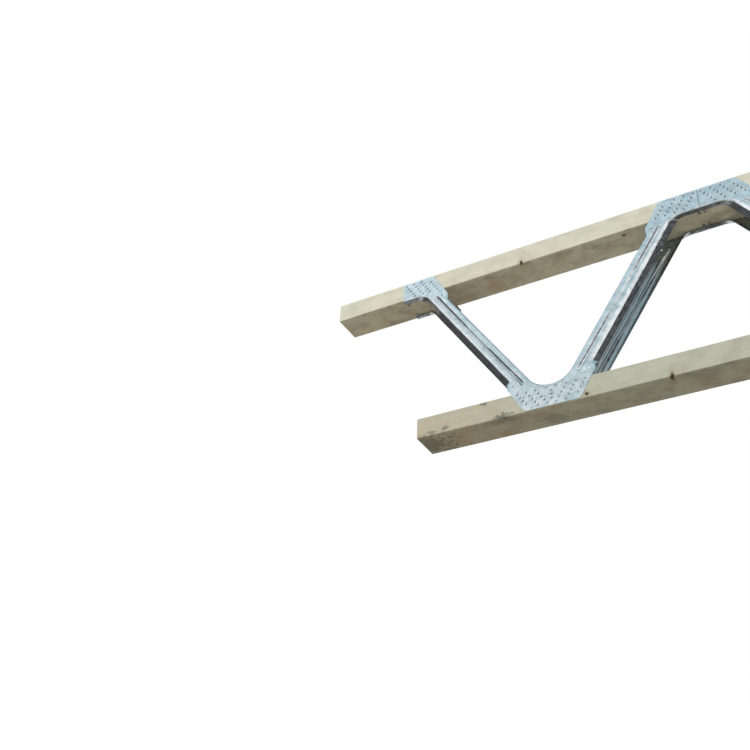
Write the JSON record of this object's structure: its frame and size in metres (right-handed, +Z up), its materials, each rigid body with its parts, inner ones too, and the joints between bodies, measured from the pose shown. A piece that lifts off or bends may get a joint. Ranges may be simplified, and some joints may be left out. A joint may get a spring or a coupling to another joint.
{
  "type": "metal web joist",
  "caption": "Open-web floor joist: two flat timber chords joined on both sides by V-shaped pressed steel webs, with a top chord that runs past the bottom one to bear.",
  "frame": {"origin": "centre of the joist's length and width, at the underside of the bottom chord", "axes": "+X along the joist, +Y across it, +Z up from the bottom chord to the top chord"},
  "size_m": [3, 0.074, 0.421],
  "materials": {
    "timber": "planed softwood, dry, matt",
    "galvanised_steel": "galvanised sheet, satin with a bluish spangle"
  },
  "bodies": {
    "root": {"top_chord": "timber", "bottom_chord": "timber", "web_front_1": "galvanised_steel", "web_front_2": "galvanised_steel", "web_front_3": "galvanised_steel", "web_front_4": "galvanised_steel", "web_back_1": "galvanised_steel", "web_back_2": "galvanised_steel", "web_back_3": "galvanised_steel", "web_back_4": "galvanised_steel"}
  },
  "joints": []
}
